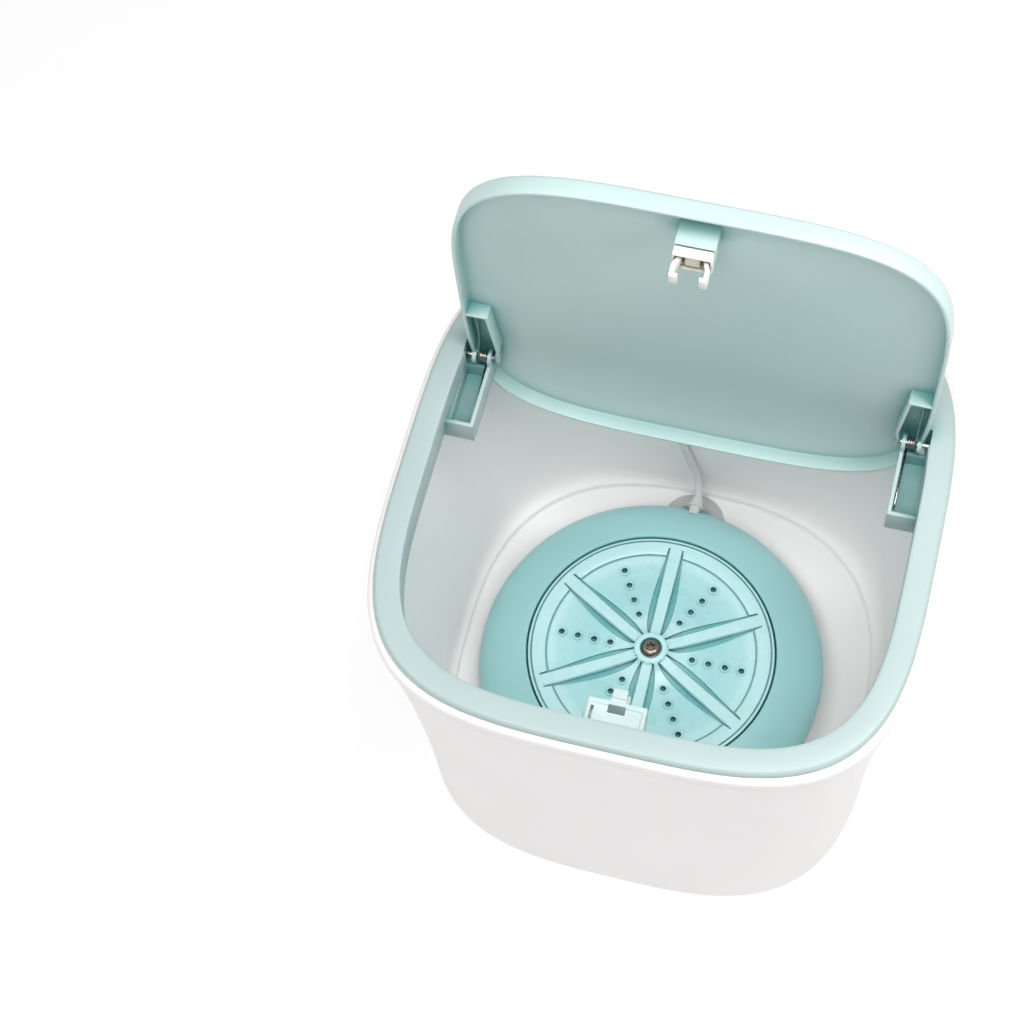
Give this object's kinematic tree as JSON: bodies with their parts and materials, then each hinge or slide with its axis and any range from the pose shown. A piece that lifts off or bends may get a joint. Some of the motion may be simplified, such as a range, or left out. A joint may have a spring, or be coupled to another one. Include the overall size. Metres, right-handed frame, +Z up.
{
  "type": "portable mini washer",
  "caption": "Small rounded-square bucket with a clip-on ring, a sprung push-latch flip lid, and a ribbed turbine puck on suction cups at its floor.",
  "frame": {"origin": "centre of the base, on the surface that the rubber feet stand on", "axes": "+Z up, -Y towards the front (the latch side), +X to the right seen from the front; the lid is open at rest"},
  "size_m": [0.2044, 0.2767, 0.316],
  "materials": {
    "white_bucket": "smooth glossy moulded polypropylene",
    "mint_ring": "satin moulded ABS",
    "mint_lid": "satin moulded ABS",
    "teal_housing": "satin moulded ABS",
    "teal_impeller": "glossy moulded ABS",
    "teal_base": "fine matt moulded ABS",
    "cream_latch": "matt acetal",
    "beige_plunger": "matt acetal",
    "frosted_striker": "frosted translucent polypropylene",
    "clear_cup": "translucent PVC",
    "dark_rubber": "matt black rubber",
    "steel": "plated steel",
    "brass": "sintered bronze bush",
    "copper_winding": "enamelled copper winding on a laminated core",
    "circuit_board": "green solder mask",
    "cable_sheath": "pale grey PVC"
  },
  "bodies": {
    "root": {"bucket": "white_bucket", "foot_front_left": "dark_rubber", "foot_front_right": "dark_rubber", "foot_rear_left": "dark_rubber", "foot_rear_right": "dark_rubber", "wall_grommet": "dark_rubber", "rim_ring": "mint_ring", "striker": "frosted_striker", "hinge_pin_left": "steel", "hinge_pin_right": "steel", "hinge_spring_left": "steel", "hinge_spring_right": "steel", "turbine_housing": "teal_housing", "turbine_base": "teal_base", "suction_cup_front": "clear_cup", "suction_cup_left": "clear_cup", "suction_cup_right": "clear_cup", "suction_cup_rear": "clear_cup", "shaft_bushing": "brass", "shaft_seal": "dark_rubber", "motor_can": "steel", "motor_stator": "copper_winding", "motor_cradle": "teal_base", "circuit_board": "circuit_board", "capacitor": "steel", "board_post_front": "teal_base", "board_post_rear": "teal_base", "base_gasket": "dark_rubber", "base_screw_rear": "steel", "base_screw_left": "steel", "base_screw_right": "steel", "cable_gland": "cable_sheath", "usb_cable": "cable_sheath", "usb_cable_coil": "cable_sheath", "usb_cable_tail": "cable_sheath", "usb_plug_body": "cable_sheath", "usb_plug_shell": "steel"},
    "lid": {"lid": "mint_lid", "latch_housing": "cream_latch", "latch_spring": "steel"},
    "latch_slider": {"latch_plunger": "beige_plunger", "claw_pin_left": "steel", "claw_pin_right": "steel"},
    "claw_left": {"latch_claw_left": "cream_latch"},
    "claw_right": {"latch_claw_right": "cream_latch"},
    "rotor": {"impeller": "teal_impeller", "impeller_screw": "steel", "motor_shaft": "steel", "motor_rotor": "steel"}
  },
  "joints": [
    {"name": "lid_hinge", "type": "hinge", "parent": "root", "child": "lid", "pos_m": [0, 0.046, 0.1817], "axis": [1, 0, 0], "range_deg": [0, 87], "stiffness_Nm_per_rad": 0.03, "springref_deg": -57.3, "deforming": ["hinge_spring_left", "hinge_spring_right"]},
    {"name": "latch_slide", "type": "slide", "parent": "lid", "child": "latch_slider", "axis": [0, 0.9986, 0.0523], "range_m": [0, 0.0035], "stiffness_N_per_m": 60, "springref_m": -0.002, "deforming": ["latch_spring"]},
    {"name": "claw_left_pivot", "type": "hinge", "parent": "latch_slider", "child": "claw_left", "pos_m": [-0.0049, 0.03341, 0.2997], "axis": [0, -0.0523, 0.9986], "range_deg": [0, 12.1]},
    {"name": "claw_right_pivot", "type": "hinge", "parent": "latch_slider", "child": "claw_right", "pos_m": [0.0049, 0.03341, 0.2997], "axis": [0, 0.0523, -0.9986], "range_deg": [0, 12.1]},
    {"name": "impeller_spin", "type": "hinge", "parent": "root", "child": "rotor", "pos_m": [-0.0056, 0.0006, 0.0316], "axis": [0, 0, 1], "continuous": true}
  ],
  "couplings": [
    {"joint": "claw_left_pivot", "follows": "latch_slide", "rad_per_m": 59.84},
    {"joint": "claw_right_pivot", "follows": "latch_slide", "rad_per_m": 59.84}
  ]
}
